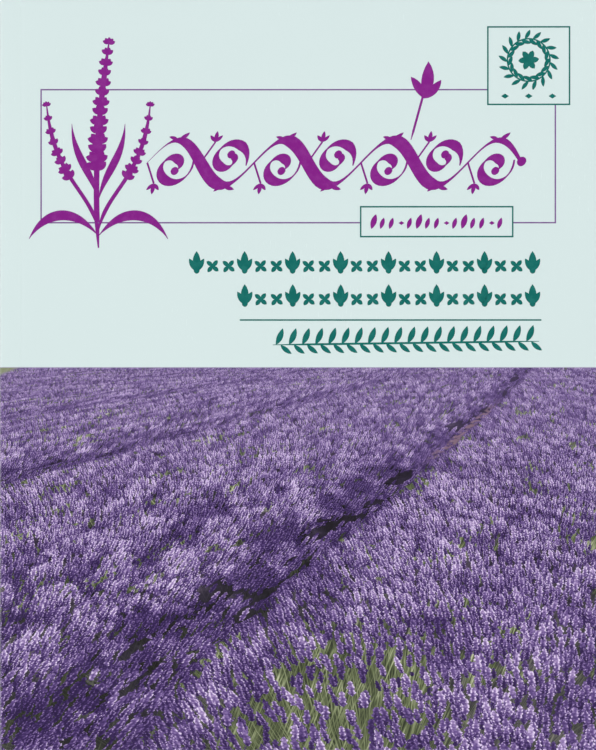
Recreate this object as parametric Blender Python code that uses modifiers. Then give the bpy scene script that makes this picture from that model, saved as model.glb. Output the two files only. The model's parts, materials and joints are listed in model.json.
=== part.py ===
"""A trade paperback book lying closed on its back cover.

One scored card cover wraps round a block of leaves. The block is ten gatherings, their folds trimmed
away, held by a film of hot-melt glue on the spine and by a narrow film of side glue under each cover
panel. The front panel opens on the score beside the spine.

Frame: +X from the spine to the fore edge, +Y from the tail to the head, +Z through the thickness, with
the origin at the middle of the back cover's outer face. Metres.
"""

import bmesh
import bpy
from mathutils import Matrix, Vector

# Trim size: the outline that the cover and the leaves are cut to in one pass
TRIM_WIDTH = 0.202
TRIM_HEIGHT = 0.254

# Cover card
CARD = 0.0003  # thickness
FOLD_RADIUS = 0.0008  # outside radius of the two folds along the spine
FOLD_SEGMENTS = 4
HINGE_STRIP = 0.007  # from the spine's face to the score that the front panel opens on

# Text block
GATHERINGS = 10
LEAVES_PER_GATHERING = 8  # a 16-page section
LEAF = 0.00009  # thickness of one leaf

# Glue
SPINE_GLUE = 0.0005  # thickness of the film between the block and the cover's spine
SIDE_GLUE = 0.0001  # thickness of the film between the block and a cover panel
SIDE_GLUE_SETBACK = 0.0005  # from the film's edge to the score, which the glue has to leave free

# Clearances
PIECE_GAP = 0.0003  # between two pieces that touch
FOLD_BACK_GAP = 0.0003  # between the hinge strip and the front panel laid right back on it

# What follows from them
GATHERING = LEAVES_PER_GATHERING * LEAF
GATHERING_PITCH = GATHERING + PIECE_GAP
BLOCK_BOTTOM = CARD + PIECE_GAP
BLOCK_THICKNESS = GATHERINGS * GATHERING_PITCH - PIECE_GAP
BLOCK_TOP = BLOCK_BOTTOM + BLOCK_THICKNESS
THICKNESS = BLOCK_TOP + PIECE_GAP + CARD

SPINE_FACE = -TRIM_WIDTH / 2
FORE_EDGE = TRIM_WIDTH / 2
GLUE_LEFT = SPINE_FACE + CARD + PIECE_GAP
BLOCK_LEFT = GLUE_LEFT + SPINE_GLUE + PIECE_GAP

SCORE = SPINE_FACE + HINGE_STRIP
HINGE_AXIS = Vector((SCORE, 0, THICKNESS + FOLD_BACK_GAP / 2))

# Colours: linear red, green and blue, with roughness
LAMINATED_CARD = ((0.70, 0.81, 0.80), 0.3)
TEXT_PAPER = ((0.85, 0.83, 0.77), 0.85)
BINDING_GLUE = ((0.80, 0.74, 0.58), 0.45)


def clear_scene():
    for item in list(bpy.data.objects):
        bpy.data.objects.remove(item, do_unlink=True)


def new_collection(name):
    collection = bpy.data.collections.new(name)
    bpy.context.scene.collection.children.link(collection)
    return collection


def new_material(name, finish):
    colour, roughness = finish
    material = bpy.data.materials.new(name)
    material.use_nodes = True
    shader = material.node_tree.nodes["Principled BSDF"]
    shader.inputs["Base Color"].default_value = (*colour, 1)
    shader.inputs["Roughness"].default_value = roughness
    shader.inputs["Metallic"].default_value = 0
    return material


def add_piece(name, shape, finish, root, collection, origin=Vector()):
    """Turns a bmesh drawn in the book's frame into an object whose own origin is at the given point."""
    shape.transform(Matrix.Translation(-origin))
    mesh = bpy.data.meshes.new(name)
    shape.to_mesh(mesh)
    shape.free()
    mesh.materials.append(new_material(name, finish))
    piece = bpy.data.objects.new(name, mesh)
    piece.parent = root
    piece.location = origin
    collection.objects.link(piece)
    return piece


def box(low, high):
    low, high = Vector(low), Vector(high)
    shape = bmesh.new()
    placed = Matrix.Translation((low + high) / 2) @ Matrix.Diagonal((*(high - low), 1))
    bmesh.ops.create_cube(shape, size=1, matrix=placed)
    return shape


def full_height_box(left, right, bottom, top):
    """A box as tall as the book, because the trim cuts every piece at the head and the tail."""
    return box((left, -TRIM_HEIGHT / 2, bottom), (right, TRIM_HEIGHT / 2, top))


def extrude_strip(shape, edge, step):
    """Draws a new strip of the sheet from one of its edges and returns the strip's far edge."""
    made = bmesh.ops.extrude_edge_only(shape, edges=[edge])["geom"]
    corners = [item for item in made if isinstance(item, bmesh.types.BMVert)]
    bmesh.ops.translate(shape, verts=corners, vec=step)
    return next(
        item for item in made
        if isinstance(item, bmesh.types.BMEdge) and set(item.verts) == set(corners)
    )


def cover_wrap(root, collection):
    """The back panel, the spine and the glued hinge strip: one sheet, folded twice."""
    sheet = bmesh.new()
    bmesh.ops.create_grid(
        sheet, x_segments=1, y_segments=1, size=0.5,
        matrix=Matrix.Diagonal((TRIM_WIDTH, TRIM_HEIGHT, 1, 1)),
    )
    spine_edge = min(sheet.edges, key=lambda edge: sum(corner.co.x for corner in edge.verts))
    front_fold = extrude_strip(sheet, spine_edge, Vector((0, 0, THICKNESS)))
    extrude_strip(sheet, front_fold, Vector((HINGE_STRIP - PIECE_GAP / 2, 0, 0)))
    bmesh.ops.recalc_face_normals(sheet, faces=sheet.faces)
    back_panel = min(sheet.faces, key=lambda face: face.calc_center_median().z)
    if back_panel.normal.z > 0:
        bmesh.ops.reverse_faces(sheet, faces=sheet.faces)

    wrap = add_piece("cover_wrap", sheet, LAMINATED_CARD, root, collection)
    folds = wrap.modifiers.new("spine folds", "BEVEL")
    folds.width = FOLD_RADIUS
    folds.segments = FOLD_SEGMENTS
    folds.limit_method = "ANGLE"
    card = wrap.modifiers.new("card", "SOLIDIFY")
    card.thickness = CARD
    card.offset = -1
    card.use_even_offset = True
    return wrap


def front_cover(root, collection):
    """The front panel, with its origin on the line that it opens about."""
    panel = full_height_box(SCORE + PIECE_GAP / 2, FORE_EDGE, THICKNESS - CARD, THICKNESS)
    return add_piece("front_cover", panel, LAMINATED_CARD, root, collection, HINGE_AXIS)


def spine_glue(root, collection):
    film = full_height_box(GLUE_LEFT, GLUE_LEFT + SPINE_GLUE, BLOCK_BOTTOM, BLOCK_TOP)
    return add_piece("spine_glue", film, BINDING_GLUE, root, collection)


def side_glue(name, gap_bottom, root, collection):
    """A film in the middle of the gap between the block and one cover panel."""
    bottom = gap_bottom + (PIECE_GAP - SIDE_GLUE) / 2
    film = full_height_box(BLOCK_LEFT, SCORE - SIDE_GLUE_SETBACK, bottom, bottom + SIDE_GLUE)
    return add_piece(name, film, BINDING_GLUE, root, collection)


def gathering(number, root, collection):
    """One section of leaves, counted from the front cover down as the pages are."""
    top = BLOCK_TOP - (number - 1) * GATHERING_PITCH
    leaves = full_height_box(BLOCK_LEFT, FORE_EDGE, top - GATHERING, top)
    return add_piece(f"gathering_{number:02d}", leaves, TEXT_PAPER, root, collection)


def build_book():
    clear_scene()
    collection = new_collection("paperback_book")
    root = bpy.data.objects.new("book_frame", None)
    collection.objects.link(root)

    cover_wrap(root, collection)
    front_cover(root, collection)
    spine_glue(root, collection)
    side_glue("front_side_glue", BLOCK_TOP, root, collection)
    side_glue("back_side_glue", CARD, root, collection)
    for number in range(1, GATHERINGS + 1):
        gathering(number, root, collection)


build_book()
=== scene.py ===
# %% [markdown]
# # A trade paperback, modelled around its frame
#
# The book lies closed on its back cover. One sheet of laminated card is wrapped round eighty leaves that
# are glued at the spine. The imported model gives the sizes, the place of the score that the front cover
# opens on, and the two bodies: the book and its front cover. This script makes what the eye sees: the
# folded card, the leaves one by one, the glue, and the print with its ornaments.

# %% Load the frame
import json
import math
import random

import bmesh
import bpy
from mathutils import Matrix, Vector

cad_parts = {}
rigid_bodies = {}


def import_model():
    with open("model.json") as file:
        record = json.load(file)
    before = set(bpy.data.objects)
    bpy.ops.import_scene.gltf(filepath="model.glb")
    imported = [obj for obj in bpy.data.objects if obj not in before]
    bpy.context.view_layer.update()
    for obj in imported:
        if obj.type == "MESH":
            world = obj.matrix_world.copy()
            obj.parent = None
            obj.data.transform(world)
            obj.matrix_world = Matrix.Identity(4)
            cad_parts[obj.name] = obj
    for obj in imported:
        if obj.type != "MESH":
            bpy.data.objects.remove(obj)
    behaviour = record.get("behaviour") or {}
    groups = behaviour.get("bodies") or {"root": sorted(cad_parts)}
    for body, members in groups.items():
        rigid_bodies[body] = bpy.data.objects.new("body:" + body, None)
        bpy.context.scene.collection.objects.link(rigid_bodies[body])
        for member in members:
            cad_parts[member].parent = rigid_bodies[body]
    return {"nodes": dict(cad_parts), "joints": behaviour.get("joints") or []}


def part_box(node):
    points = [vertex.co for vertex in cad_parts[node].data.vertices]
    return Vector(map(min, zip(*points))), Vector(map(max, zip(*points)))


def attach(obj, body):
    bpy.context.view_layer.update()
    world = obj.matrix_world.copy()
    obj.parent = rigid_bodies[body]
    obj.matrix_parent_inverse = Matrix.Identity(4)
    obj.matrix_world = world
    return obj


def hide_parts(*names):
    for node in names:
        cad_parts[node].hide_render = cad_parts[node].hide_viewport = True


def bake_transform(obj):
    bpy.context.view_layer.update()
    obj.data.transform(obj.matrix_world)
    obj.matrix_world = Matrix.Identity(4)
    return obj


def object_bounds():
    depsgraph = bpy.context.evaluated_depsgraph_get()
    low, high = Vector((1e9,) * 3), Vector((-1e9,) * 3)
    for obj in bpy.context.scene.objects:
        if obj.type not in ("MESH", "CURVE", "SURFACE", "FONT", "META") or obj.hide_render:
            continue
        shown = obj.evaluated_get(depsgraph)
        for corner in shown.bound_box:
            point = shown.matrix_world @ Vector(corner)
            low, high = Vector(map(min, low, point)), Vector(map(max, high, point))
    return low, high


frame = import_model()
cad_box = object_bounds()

SPINE_FACE, TAIL, _ = cad_box[0]
FORE_EDGE, HEAD, THICKNESS = cad_box[1]
WIDTH, HEIGHT = FORE_EDGE - SPINE_FACE, HEAD - TAIL
MM = 0.001

joint = frame["joints"][0]
SCORE = joint["pos_m"][0]
panel_low, panel_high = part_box("front_cover")
CARD = panel_high.z - panel_low.z
BOOK, FRONT = joint["parent"], joint["child"]
print(f"cover {WIDTH / MM:.0f} x {HEIGHT / MM:.0f} x {THICKNESS / MM:.1f} mm, card {CARD / MM:.1f} mm")

# %% [markdown]
# ## Bench tools
#
# Everything below is done as by hand in edit mode: add a primitive, select by place, then extrude, cut,
# turn or bevel. Selecting by mouse has no place in a script, so `select` takes a test that says which
# vertices, edges or faces are wanted.

# %% Choose a piece, add a sheet
def only(*pieces):
    """Selects these objects and nothing else."""
    if bpy.context.object and bpy.context.object.mode != "OBJECT":
        bpy.ops.object.mode_set(mode="OBJECT")
    bpy.ops.object.select_all(action="DESELECT")
    for piece in pieces:
        piece.select_set(True)
    bpy.context.view_layer.objects.active = pieces[0]


def add_sheet(name, left, right, bottom, top, height):
    """A flat rectangle, drawn in place so that its object stays at the origin."""
    bpy.ops.object.select_all(action="DESELECT")
    bpy.ops.mesh.primitive_plane_add(size=1, location=((left + right) / 2, (bottom + top) / 2, height))
    sheet = bpy.context.object
    sheet.name = sheet.data.name = name
    sheet.scale = (right - left, top - bottom, 1)
    bpy.ops.object.transform_apply(location=True, rotation=True, scale=True)
    return sheet


print("lengths are in", bpy.context.scene.unit_settings.length_unit.lower())


# %% Select and cut by place
def select(kind, test):
    """In edit mode, selects only the vertices, edges or faces that pass the test."""
    bpy.ops.mesh.select_mode(type=kind)
    bpy.ops.mesh.select_all(action="DESELECT")
    mesh = bpy.context.object.data
    shape = bmesh.from_edit_mesh(mesh)
    for item in {"VERT": shape.verts, "EDGE": shape.edges, "FACE": shape.faces}[kind]:
        item.select_set(test(item))
    bmesh.update_edit_mesh(mesh)


def cut(axis, places):
    """In edit mode, cuts the whole mesh across one axis at each of these places."""
    normal = Vector([float(name == axis) for name in "xyz"])
    for place in places:
        bpy.ops.mesh.select_all(action="SELECT")
        bpy.ops.mesh.bisect(plane_co=normal * place, plane_no=normal)


def spread(first, last, count):
    """So many places, evenly spaced, from the first to the last."""
    return [first + (last - first) * step / (count - 1) for step in range(count)]


print("four places spread over 3 mm:", spread(0, 3, 4))


# %% Apply a modifier, join pieces
def apply(piece, kind, **settings):
    """Adds a modifier, sets it and applies it."""
    only(piece)
    modifier = piece.modifiers.new(kind.title(), kind)
    for name, value in settings.items():
        setattr(modifier, name, value)
    bpy.ops.object.modifier_apply(modifier=modifier.name)


def join(name, pieces):
    """Makes one piece of several, in their order, and names it."""
    only(*pieces)
    if len(pieces) > 1:
        bpy.ops.object.join()
    joined = bpy.context.object
    joined.name = joined.data.name = name
    return joined


print("bench tools are ready")

# %% [markdown]
# ## The cover card
#
# A binder prints the cover flat, laminates it, presses the scores into it and then folds it round the
# block. It could be modelled as three plates, but then the print would break at the folds and the front
# would tear off when it opens. So it is made in the binder's order: a flat sheet, which takes its print
# map while it is flat, then two folds with round corners, two pressed scores and a slight curl. Last, the
# flat of the back is split off 4 mm from the spine, face to face, so that it can go with the book while the
# front and spine stay one piece. The print runs on across that seam.

# %% Lay out the flat sheet
FIELD_TOP = 0.1297  # height of the picture above the tail
FOLD_RADIUS = 0.8 * MM
CREASE = 1.2 * MM  # width of card that bends when the cover opens
BACK_FOLD = SPINE_FACE - THICKNESS  # where the sheet turns from the spine to the back, while flat
BACK_EDGE = BACK_FOLD - WIDTH
BACK_SEAM = 4 * MM  # from the spine edge to the hidden joint between the two pieces of card
PAST_SCORE = 4 * MM  # from a score to the first cut of the flat card beyond it

cover = add_sheet("cover", BACK_EDGE, FORE_EDGE, TAIL, HEAD, THICKNESS)
bpy.ops.object.mode_set(mode="EDIT")
score_rows = spread(SCORE - CREASE / 2, SCORE, 4)[:-1] + spread(SCORE, SCORE + CREASE, 9)
back_score = BACK_FOLD - (SCORE - SPINE_FACE)
cut("x", score_rows + [back_score + step for step in spread(-CREASE / 2, CREASE / 2, 5)])
cut("x", [BACK_FOLD - BACK_SEAM, BACK_FOLD, SPINE_FACE] + spread(SCORE + PAST_SCORE, FORE_EDGE, 16)[:-1])
cut("x", spread(BACK_EDGE, back_score - PAST_SCORE, 10)[1:])
cut("y", spread(TAIL, HEAD, 11)[1:-1] + [TAIL + FIELD_TOP])
bpy.ops.object.mode_set(mode="OBJECT")

print_map = cover.data.uv_layers[0]
print_map.name = "Print"
for corner in cover.data.loops:
    place = cover.data.vertices[corner.vertex_index].co
    print_map.data[corner.index].uv = (place.x - SPINE_FACE, place.y - TAIL)
print(f"the flat sheet is {(FORE_EDGE - BACK_EDGE) / MM:.0f} mm wide, with {len(cover.data.polygons)} faces")

# %% Fold it round the block
def fold(beyond, centre):
    """Turns what lies to the left of a fold by a quarter turn, down and under."""
    select("VERT", beyond)
    bpy.ops.transform.rotate(value=math.pi / 2, orient_axis="Y", center_override=centre)


NEAR = 1e-6
only(cover)
bpy.ops.object.mode_set(mode="EDIT")
fold(lambda v: v.co.x < SPINE_FACE - NEAR, (SPINE_FACE, 0, THICKNESS))
fold(lambda v: v.co.z < -NEAR or v.co.z > THICKNESS + NEAR, (SPINE_FACE, 0, 0))


def along_spine(edge):
    """True for the edges on the two fold lines, but not for those that cross the spine between them."""
    start, end = (vertex.co for vertex in edge.verts)
    level = abs(start.z - end.z) < NEAR and min(abs(start.z), abs(start.z - THICKNESS)) < NEAR
    return level and max(abs(start.x - SPINE_FACE), abs(end.x - SPINE_FACE)) < NEAR


select("EDGE", along_spine)
bpy.ops.mesh.bevel(offset=FOLD_RADIUS, segments=5, affect="EDGES")
bpy.ops.object.mode_set(mode="OBJECT")
lowest = min(v.co.z for v in cover.data.vertices)
print("folded: the sheet's faces now lie from", round(lowest / MM, 2), "to", round(THICKNESS / MM, 2), "mm")

# %% Press the scores and lift the fore edge
SCORE_DEPTH = 0.06 * MM
CURL, CURL_START = 0.5 * MM, SPINE_FACE + 0.4 * WIDTH


def rise(x, y):
    """How far the resting front panel stands above its flat place. A handled cover lifts at the fore edge."""
    outward = max(0.0, (x - CURL_START) / (FORE_EDGE - CURL_START))
    return CURL * outward**2 * (0.75 + 0.25 * (y - TAIL) / HEIGHT)


def score_groove(distance):
    """Depth of the pressed score, at a distance from its middle."""
    return SCORE_DEPTH * max(0.0, 1 - abs(distance) / (CREASE / 2))


for vertex in cover.data.vertices:
    x, y, z = vertex.co
    if z > THICKNESS - NEAR:
        vertex.co.z += rise(x, y) - score_groove(x - SCORE)
    elif z < NEAR:
        vertex.co.z += score_groove(x - SCORE)
print(f"the free corner stands {rise(FORE_EDGE, HEAD) / MM:.1f} mm proud")

# %% Part the back and give the card its thickness
LAMINATE, PICTURE, INSIDE, CORE = 0, 1, 2, 4  # material slots; the inside and the core each fill two
card_slots = ["cover_laminate", "cover_picture", "card_inside", "card_inside", "card_core", "card_core"]
for name in card_slots:
    cover.data.materials.append(bpy.data.materials.get(name) or bpy.data.materials.new(name))
for face in cover.data.polygons:
    face.material_index = PICTURE if face.center.y < TAIL + FIELD_TOP else LAMINATE



def past_seam(face):
    """True for the faces of the back, but not for the narrow strip of it that stays with the spine."""
    middle = face.calc_center_median()
    return middle.z < THICKNESS / 2 and middle.x > SPINE_FACE + BACK_SEAM


# The back leaves the sheet at a flat place.
only(cover)
bpy.ops.object.mode_set(mode="EDIT")
select("FACE", past_seam)
bpy.ops.mesh.separate(type="SELECTED")
bpy.ops.object.mode_set(mode="OBJECT")
back_cover = next(piece for piece in bpy.context.selected_objects if piece is not cover)
back_cover.name = back_cover.data.name = "back_cover"
for card in (cover, back_cover):
    apply(card, "SOLIDIFY", thickness=CARD, offset=-1, use_even_offset=True,
          material_offset=INSIDE, material_offset_rim=CORE)
    only(card)
    bpy.ops.object.shade_smooth_by_angle(angle=math.radians(35))
    print(card.name, len(card.data.polygons), "faces,", len(card_slots), "material slots")

# %% [markdown]
# ## A map for baking
#
# An automatic layout for baking each piece's finish into one square image would give the plain inside of
# the card as much of that image as the print. So the card gets a second map, which lays the printed side
# over most of the square and squeezes the inside and the cut edges into the strip that is left.

# %% Lay out the map for baking
MARGIN = 0.01  # of the square, between the three parts of the map
INSIDE_LEFT, INSIDE_SHARE, EDGES_LEFT = 0.865, 0.07, 0.945
EDGE_SHARE = 0.9  # how much of its own row each cut-edge face fills


def lay_out_bake(card):
    """Gives a card piece its second map: the print, beside it the inside, and a column of cut edges."""
    card.data.uv_layers.new(name="OFBake")
    flat, bake = card.data.uv_layers["Print"].data, card.data.uv_layers["OFBake"].data
    left = min(corner.uv.x for corner in flat)
    side = HEIGHT / (1 - 2 * MARGIN)
    edges = [face for face in card.data.polygons if face.material_index >= CORE]
    for face in card.data.polygons:
        start, share = (INSIDE_LEFT, INSIDE_SHARE) if face.material_index >= INSIDE else (MARGIN, 1)
        for corner in face.loop_indices:
            u, v = flat[corner].uv
            bake[corner].uv = (start + share * (u - left) / side, MARGIN + v / side)
    breadth, height = 1 - MARGIN - EDGES_LEFT, (1 - 2 * MARGIN) / len(edges)
    for number, face in enumerate(edges):
        for corner, (across, up) in zip(face.loop_indices, [(0, 0), (1, 0), (1, 1), (0, 1)]):
            bake[corner].uv = (EDGES_LEFT + across * breadth, MARGIN + (number + up * EDGE_SHARE) * height)
    print(card.name, "has a map for baking, with", len(edges), "cut-edge faces")


for card in (cover, back_cover):
    lay_out_bake(card)

# %% [markdown]
# ## The leaves
#
# A block of paper seen from the side is a stack of fine, slightly uneven lines. One solid with stripes
# painted on it would look right only from afar, so each leaf is a sheet of its own. They are all alike but
# for the air between them: it is squeezed out at the glued spine, and it varies at the fore edge and the
# corners. Each leaf adds its own gaps to those of the leaf below, so no two leaves can cross.

# %% Space the leaves
LEAVES = 80
LEAF = 0.09 * MM
BLOCK_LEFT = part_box("gathering_01")[0].x
BLOCK_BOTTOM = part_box("gathering_10")[0].z
BLOCK_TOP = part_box("gathering_01")[1].z
TRIM_SLIP = 0.12 * MM  # how far a leaf may fall short of the trimmed edge
LOOSE_ROOM = 0.12 * MM  # how far the loose corners spread past the glued stack, at each face

shuffle = random.Random(80)


def leaf_gaps(bottom, top, unevenness):
    """Heights of all the leaves along one line of the stack, with uneven air between them."""
    air = [shuffle.uniform(1 - unevenness, 1 + unevenness) for _ in range(LEAVES + 1)]
    scale = (top - bottom - LEAVES * LEAF) / sum(air)
    heights, height = [], bottom
    for gap in air[:-1]:
        height += gap * scale
        heights.append(height)
        height += LEAF
    return heights


at_spine = leaf_gaps(BLOCK_BOTTOM, BLOCK_TOP, unevenness=0.2)
LEAF_STATIONS = spread(TAIL, HEAD, 5)
at_fore_edge = [leaf_gaps(BLOCK_BOTTOM - LOOSE_ROOM, BLOCK_TOP + LOOSE_ROOM, unevenness=0.85)
                for _ in LEAF_STATIONS]
for side, heights in (("spine", at_spine), ("fore edge", at_fore_edge[0])):
    print(f"at the {side}, the leaves take up {(heights[-1] + LEAF - heights[0]) / MM:.2f} mm")

# %% Lay the leaves one on another
plain_leaf = add_sheet("leaf", BLOCK_LEFT, FORE_EDGE, TAIL, HEAD, 0)
bpy.ops.object.mode_set(mode="EDIT")
cut("x", spread(BLOCK_LEFT, FORE_EDGE, 6)[1:-1])
cut("y", LEAF_STATIONS[1:-1])
bpy.ops.object.mode_set(mode="OBJECT")
for name in ("leaf_paper", "leaf_edge"):
    plain_leaf.data.materials.append(bpy.data.materials.new(name))
apply(plain_leaf, "SOLIDIFY", thickness=LEAF, offset=1, material_offset_rim=1)


def lay_leaf(number):
    """A copy of the plain leaf, laid at its place in the stack."""
    leaf = plain_leaf.copy()
    leaf.data = plain_leaf.data.copy()
    bpy.context.scene.collection.objects.link(leaf)
    short = [shuffle.uniform(0, TRIM_SLIP) for _ in range(3)]
    for vertex in leaf.data.vertices:
        out = (vertex.co.x - BLOCK_LEFT) / (FORE_EDGE - BLOCK_LEFT)
        station = min(range(len(LEAF_STATIONS)), key=lambda i: abs(LEAF_STATIONS[i] - vertex.co.y))
        share = math.sin(out * math.pi / 2)
        vertex.co.z += at_spine[number] * (1 - share) + at_fore_edge[station][number] * share
        if out > 1 - NEAR:
            vertex.co.x -= short[0]
        if abs(abs(vertex.co.y) - HEAD) < NEAR:
            vertex.co.y -= math.copysign(short[1 if vertex.co.y > 0 else 2], vertex.co.y)
    return leaf


stack = [lay_leaf(number) for number in range(LEAVES)]
title_leaf = join("title_leaf", [stack.pop()])
text_leaves = join("text_leaves", stack)
bpy.data.objects.remove(plain_leaf)
print(LEAVES, "leaves,", len(text_leaves.data.polygons), "faces in the stack under the title leaf")

# %% [markdown]
# ## The glue
#
# Hot-melt glue is rolled on to the spine of the block as a film and sets like soft plastic. It shows as a
# cream line between the leaves and the card, at the head and the tail, where the trimmer cut through it.
# Its faces follow the rough paper, so a plain bar is divided along its length and its sides are disturbed.

# %% Make the glue film
glue_low, glue_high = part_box("spine_glue")
GLUE_REACH = 0.15 * MM  # how far the glue swells towards the leaves and the card
bpy.ops.object.select_all(action="DESELECT")
bpy.ops.mesh.primitive_cube_add(size=1, location=(glue_low + glue_high) / 2)
glue = bpy.context.object
glue.scale = glue_high - glue_low
bpy.ops.object.transform_apply(location=True, rotation=True, scale=True)
glue.name = glue.data.name = "glue_film"
bpy.ops.object.mode_set(mode="EDIT")
cut("y", spread(TAIL, HEAD, 65)[1:-1])
cut("z", spread(glue_low.z, glue_high.z, 9)[1:-1])
bpy.ops.object.mode_set(mode="OBJECT")
for vertex in glue.data.vertices:
    side = 1 if vertex.co.x > (glue_low.x + glue_high.x) / 2 else -1
    vertex.co.x += side * shuffle.uniform(0.3, 1) * GLUE_REACH
glue.data.materials.append(bpy.data.materials.new("binding_glue"))
only(glue)
bpy.ops.object.shade_smooth_by_angle(angle=math.radians(50))
print("glue film:", len(glue.data.polygons), "faces")

# %% [markdown]
# ## Finishes: small tools for node trees
#
# Each finish is a tree of nodes. A tree can be wired socket by socket, but a pattern such as the printed
# field takes hundreds of Math nodes, and nobody can read that. So a `Wire` stands for one value on its
# way through a tree, and arithmetic on wires adds the Math nodes. What follows then reads like formulas.

# %% Wires
class Wire:
    """One value flowing through a node tree. Arithmetic on it adds Math nodes."""

    def __init__(self, tree, socket):
        self.tree, self.socket = tree, socket

    def maths(self, operation, *others):
        node = self.tree.nodes.new("ShaderNodeMath")
        node.operation = operation
        for slot, value in zip(node.inputs, (self, *others)):
            feed(self.tree, slot, value)
        return Wire(self.tree, node.outputs[0])

    def __add__(self, other):
        return self.maths("ADD", other)

    def __sub__(self, other):
        return self.maths("SUBTRACT", other)

    def __mul__(self, other):
        return self.maths("MULTIPLY", other)

    def __truediv__(self, other):
        return self.maths("DIVIDE", other)

    def __rsub__(self, other):
        return self.maths("MULTIPLY", -1.0).maths("ADD", other)

    __radd__, __rmul__ = __add__, __mul__


def feed(tree, slot, value):
    """Links a wire to a socket, or sets the socket to a plain value."""
    if isinstance(value, Wire):
        tree.links.new(value.socket, slot)
    elif slot.type == "RGBA":
        slot.default_value = (*value, 1)
    else:
        slot.default_value = value


def add_node(tree, kind, outputs, settings=(), **inputs):
    """Adds a node, sets and feeds it, and returns a wire from each of the named outputs."""
    node = tree.nodes.new(kind)
    for name, value in dict(settings).items():
        setattr(node, name, value)
    for name, value in inputs.items():
        feed(tree, node.inputs[name], value)
    return [Wire(tree, node.outputs[name]) for name in outputs]


print("arithmetic on a Wire adds Math nodes")


# %% Noise, soft steps and colour
def vector(tree, x=0.0, y=0.0, z=0.0):
    """Three wires or numbers made one place."""
    return add_node(tree, "ShaderNodeCombineXYZ", ["Vector"], X=x, Y=y, Z=z)[0]


def noise(tree, x, y, z=0.0, detail=2.0, roughness=0.5):
    """Clouds from 0 to 1. The place is scaled beforehand, so that a grain of the pattern is about 1 wide."""
    place = vector(tree, x, y, z)
    return add_node(tree, "ShaderNodeTexNoise", ["Fac"], Vector=place, Scale=1.0, Detail=detail,
                    Roughness=roughness)[0]


def smooth(tree, value, start, end, low=0.0, high=1.0):
    """Goes softly from low to high while the value goes from start to end."""
    node = tree.nodes.new("ShaderNodeMapRange")
    node.interpolation_type = "SMOOTHSTEP"
    for slot, given in zip(node.inputs, (value, start, end, low, high)):
        feed(tree, slot, given)
    return Wire(tree, node.outputs["Result"])


def ramp(tree, value, stops):
    """A colour that passes through the stops, each given as a value and its colour."""
    node = tree.nodes.new("ShaderNodeValToRGB")
    feed(tree, node.inputs["Fac"], value)
    elements = node.color_ramp.elements
    elements.remove(elements[1])
    for number, (place, colour) in enumerate(stops):
        element = elements[0] if number == 0 else elements.new(place)
        element.position, element.color = place, (*colour, 1)
    return Wire(tree, node.outputs["Color"])


def mix(tree, share, under, over):
    """One colour laid over another by a share from 0 to 1."""
    node = tree.nodes.new("ShaderNodeMix")
    node.data_type = "RGBA"
    feed(tree, node.inputs["Factor"], share)
    colour_slots = [slot for slot in node.inputs if slot.type == "RGBA"]
    feed(tree, colour_slots[0], under)
    feed(tree, colour_slots[1], over)
    return Wire(tree, next(slot for slot in node.outputs if slot.type == "RGBA"))


def screen_colour(red, green, blue):
    """A colour given as on a screen, 0 to 255, in the linear values that shaders use."""
    shares = [channel / 255 for channel in (red, green, blue)]
    return tuple(c / 12.92 if c <= 0.04045 else ((c + 0.055) / 1.055) ** 2.4 for c in shares)


print("half grey on a screen is", round(screen_colour(128, 128, 128)[0], 2), "in a shader")


# %% A finish and its bump
def new_finish(name, **plain):
    """Clears a material to one Principled shader, sets its plain values and returns its tree and shader."""
    material = bpy.data.materials.get(name) or bpy.data.materials.new(name)
    material.use_nodes = True
    tree = material.node_tree
    shader = next(node for node in tree.nodes if node.type == "BSDF_PRINCIPLED")
    for socket, value in plain.items():
        feed(tree, shader.inputs[socket.replace("_", " ")], value)
    return tree, shader


def bump(tree, shader, height, distance, strength=1.0):
    """Raises the surface by a height from 0 to 1 times this distance."""
    normal = add_node(tree, "ShaderNodeBump", ["Normal"], Height=height, Distance=distance, Strength=strength)
    feed(tree, shader.inputs["Normal"], normal[0])


print("each finish starts from one Principled shader")

# %% [markdown]
# ## The printed field
#
# The lower half of the sheet is a picture of a lavender field in bloom, and it wraps round the spine to
# the back. It could be glued on as an image, but here it is drawn by formulas, so it is an invented field
# and sharp at any distance. A field has an order that formulas suit. Its rows meet at a
# vanishing point above the picture, so a spike's size follows from its drop below that point. Spikes
# stand in courses like slates on a roof, and each has its own lean, tone and florets from random values.

# %% Perspective of the rows
VANISH_U, VANISH_V = 0.1898, 0.1422  # where the rows would meet, on the print map
FURROW, FURROW_STEP = -1.09, 2.65  # the main furrow and the next, as sideways distance over drop
BEND_AT, BEND = 0.100, 42.0  # the furrows swing right above and below this drop
BUSH_ACROSS, BUSH_DOWN, BUSH_SKEW = 4.2, 5.0, 8.0  # bushes to a unit of slant and of depth, and their lean
SPIKE_SCALE, SPIKE_POWER = 0.0315, 0.80  # a spike's length is this times the drop to this power


def field_rows(tree, u, v):
    """The drop below the vanishing point, the slant of a line through it, the phase between furrows and how
    near the main furrow is. The phase is 0 on the right of a furrow and 1 at the next furrow to the right."""
    drop = (VANISH_V - v).maths("MAXIMUM", 0.004)
    slant = (u - VANISH_U) / drop
    depth = drop.maths("LOGARITHM", math.e)
    wobble = noise(tree, slant * 3.0, depth * 9.0, detail=5.0, roughness=0.62) - 0.5
    bend = (drop - BEND_AT) * (drop - BEND_AT) * BEND
    place = (slant - FURROW - bend) / FURROW_STEP + wobble * 0.06
    main = smooth(tree, place.maths("ABSOLUTE"), 0.6, 0.3)
    return drop, slant, depth, place - place.maths("FLOOR"), main


print("the rows meet", round((VANISH_V - FIELD_TOP) / MM, 1), "mm above the picture")

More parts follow.
